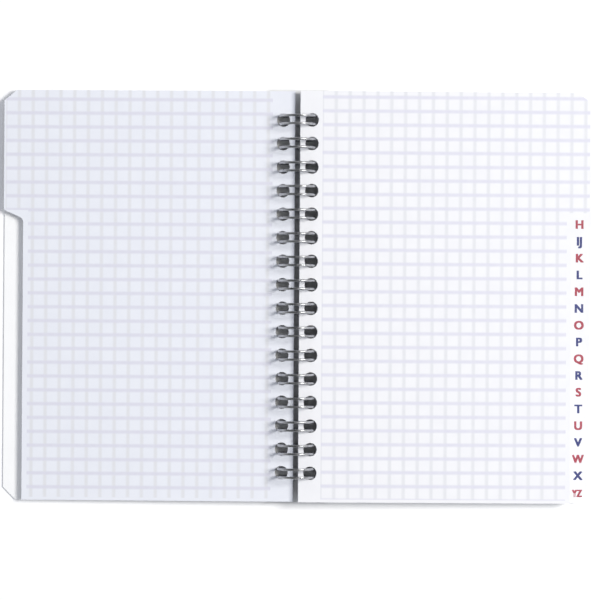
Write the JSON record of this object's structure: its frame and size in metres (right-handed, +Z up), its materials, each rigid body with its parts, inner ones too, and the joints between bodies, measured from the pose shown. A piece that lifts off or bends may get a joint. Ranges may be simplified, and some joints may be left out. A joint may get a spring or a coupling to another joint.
{
  "type": "indexed twin-loop notebook",
  "caption": "Pocket notebook lying open on a twin-loop wire, with a stepped thumb index down its fore edge and squared white pages.",
  "frame": {"origin": "on the table, under the middle of the wire's row of loops", "axes": "+X towards the right-hand page's fore edge, +Y along the spine to the head of the page, +Z up"},
  "size_m": [0.2119, 0.148, 0.0134],
  "materials": {
    "cover_card": "smooth white card, 0.5 mm",
    "page_paper": "uncoated white writing paper with a faint 5 mm square ruling",
    "wire": "bright silver steel wire, 0.9 mm"
  },
  "bodies": {
    "back": {"back_cover": "cover_card", "twin_loop_wire": "wire"},
    "coming_leaves": {"right_leaves": "page_paper"},
    "front": {"front_cover": "cover_card"},
    "turned_leaves": {"left_leaves": "page_paper"}
  },
  "joints": [
    {"name": "front_cover_turn", "type": "hinge", "parent": "back", "child": "front", "pos_m": [0, 0, 0.00678], "axis": [0, 1, 0], "range_deg": [0, 182.41]},
    {"name": "left_leaves_turn", "type": "hinge", "parent": "front", "child": "turned_leaves", "pos_m": [0, 0, 0.00678], "axis": [0, 1, 0], "range_deg": [0, 180]},
    {"name": "right_leaves_turn", "type": "hinge", "parent": "back", "child": "coming_leaves", "pos_m": [0, 0, 0.00678], "axis": [0, 1, 0], "range_deg": [-180, 0]}
  ]
}
